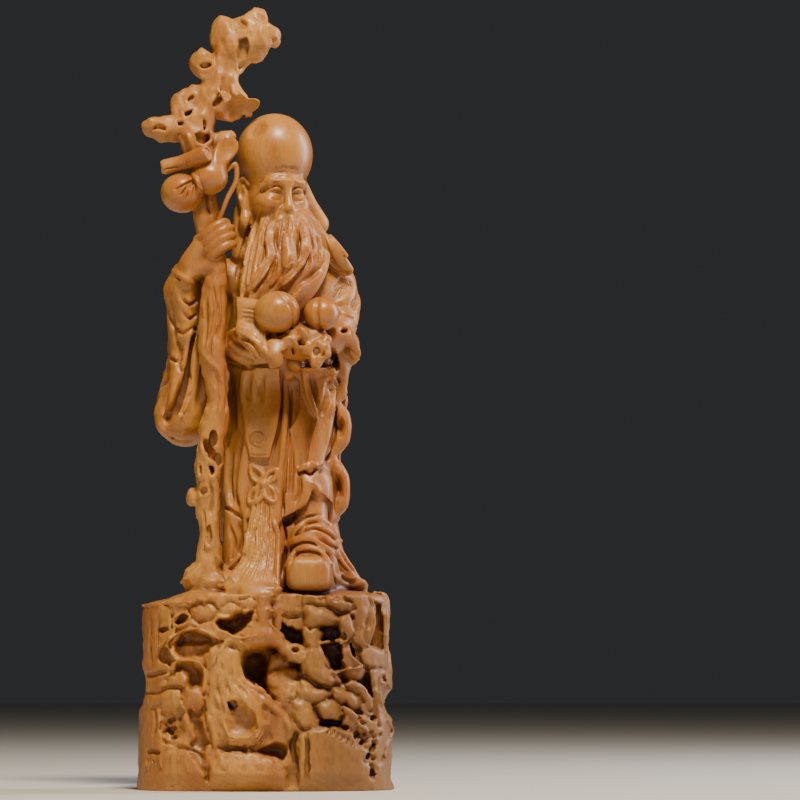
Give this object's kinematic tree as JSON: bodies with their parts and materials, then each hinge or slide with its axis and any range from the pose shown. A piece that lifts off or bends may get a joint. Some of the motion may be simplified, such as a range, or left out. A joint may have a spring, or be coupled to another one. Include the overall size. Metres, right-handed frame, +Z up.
{
  "type": "shou lao figure",
  "caption": "Carved cypress figure of an old man of long life with root staff, gourd, scroll and peaches, standing on a pierced rock plinth; a shelf ornament.",
  "frame": {"origin": "middle of the flat underside of the rock plinth", "axes": "+X to the viewer's right, +Y away from the viewer, +Z up"},
  "size_m": [0.0978, 0.0744, 0.2989],
  "materials": {
    "cypress_wood": "satin"
  },
  "bodies": {
    "root": {"shou_lao_figure": "cypress_wood"}
  },
  "joints": []
}
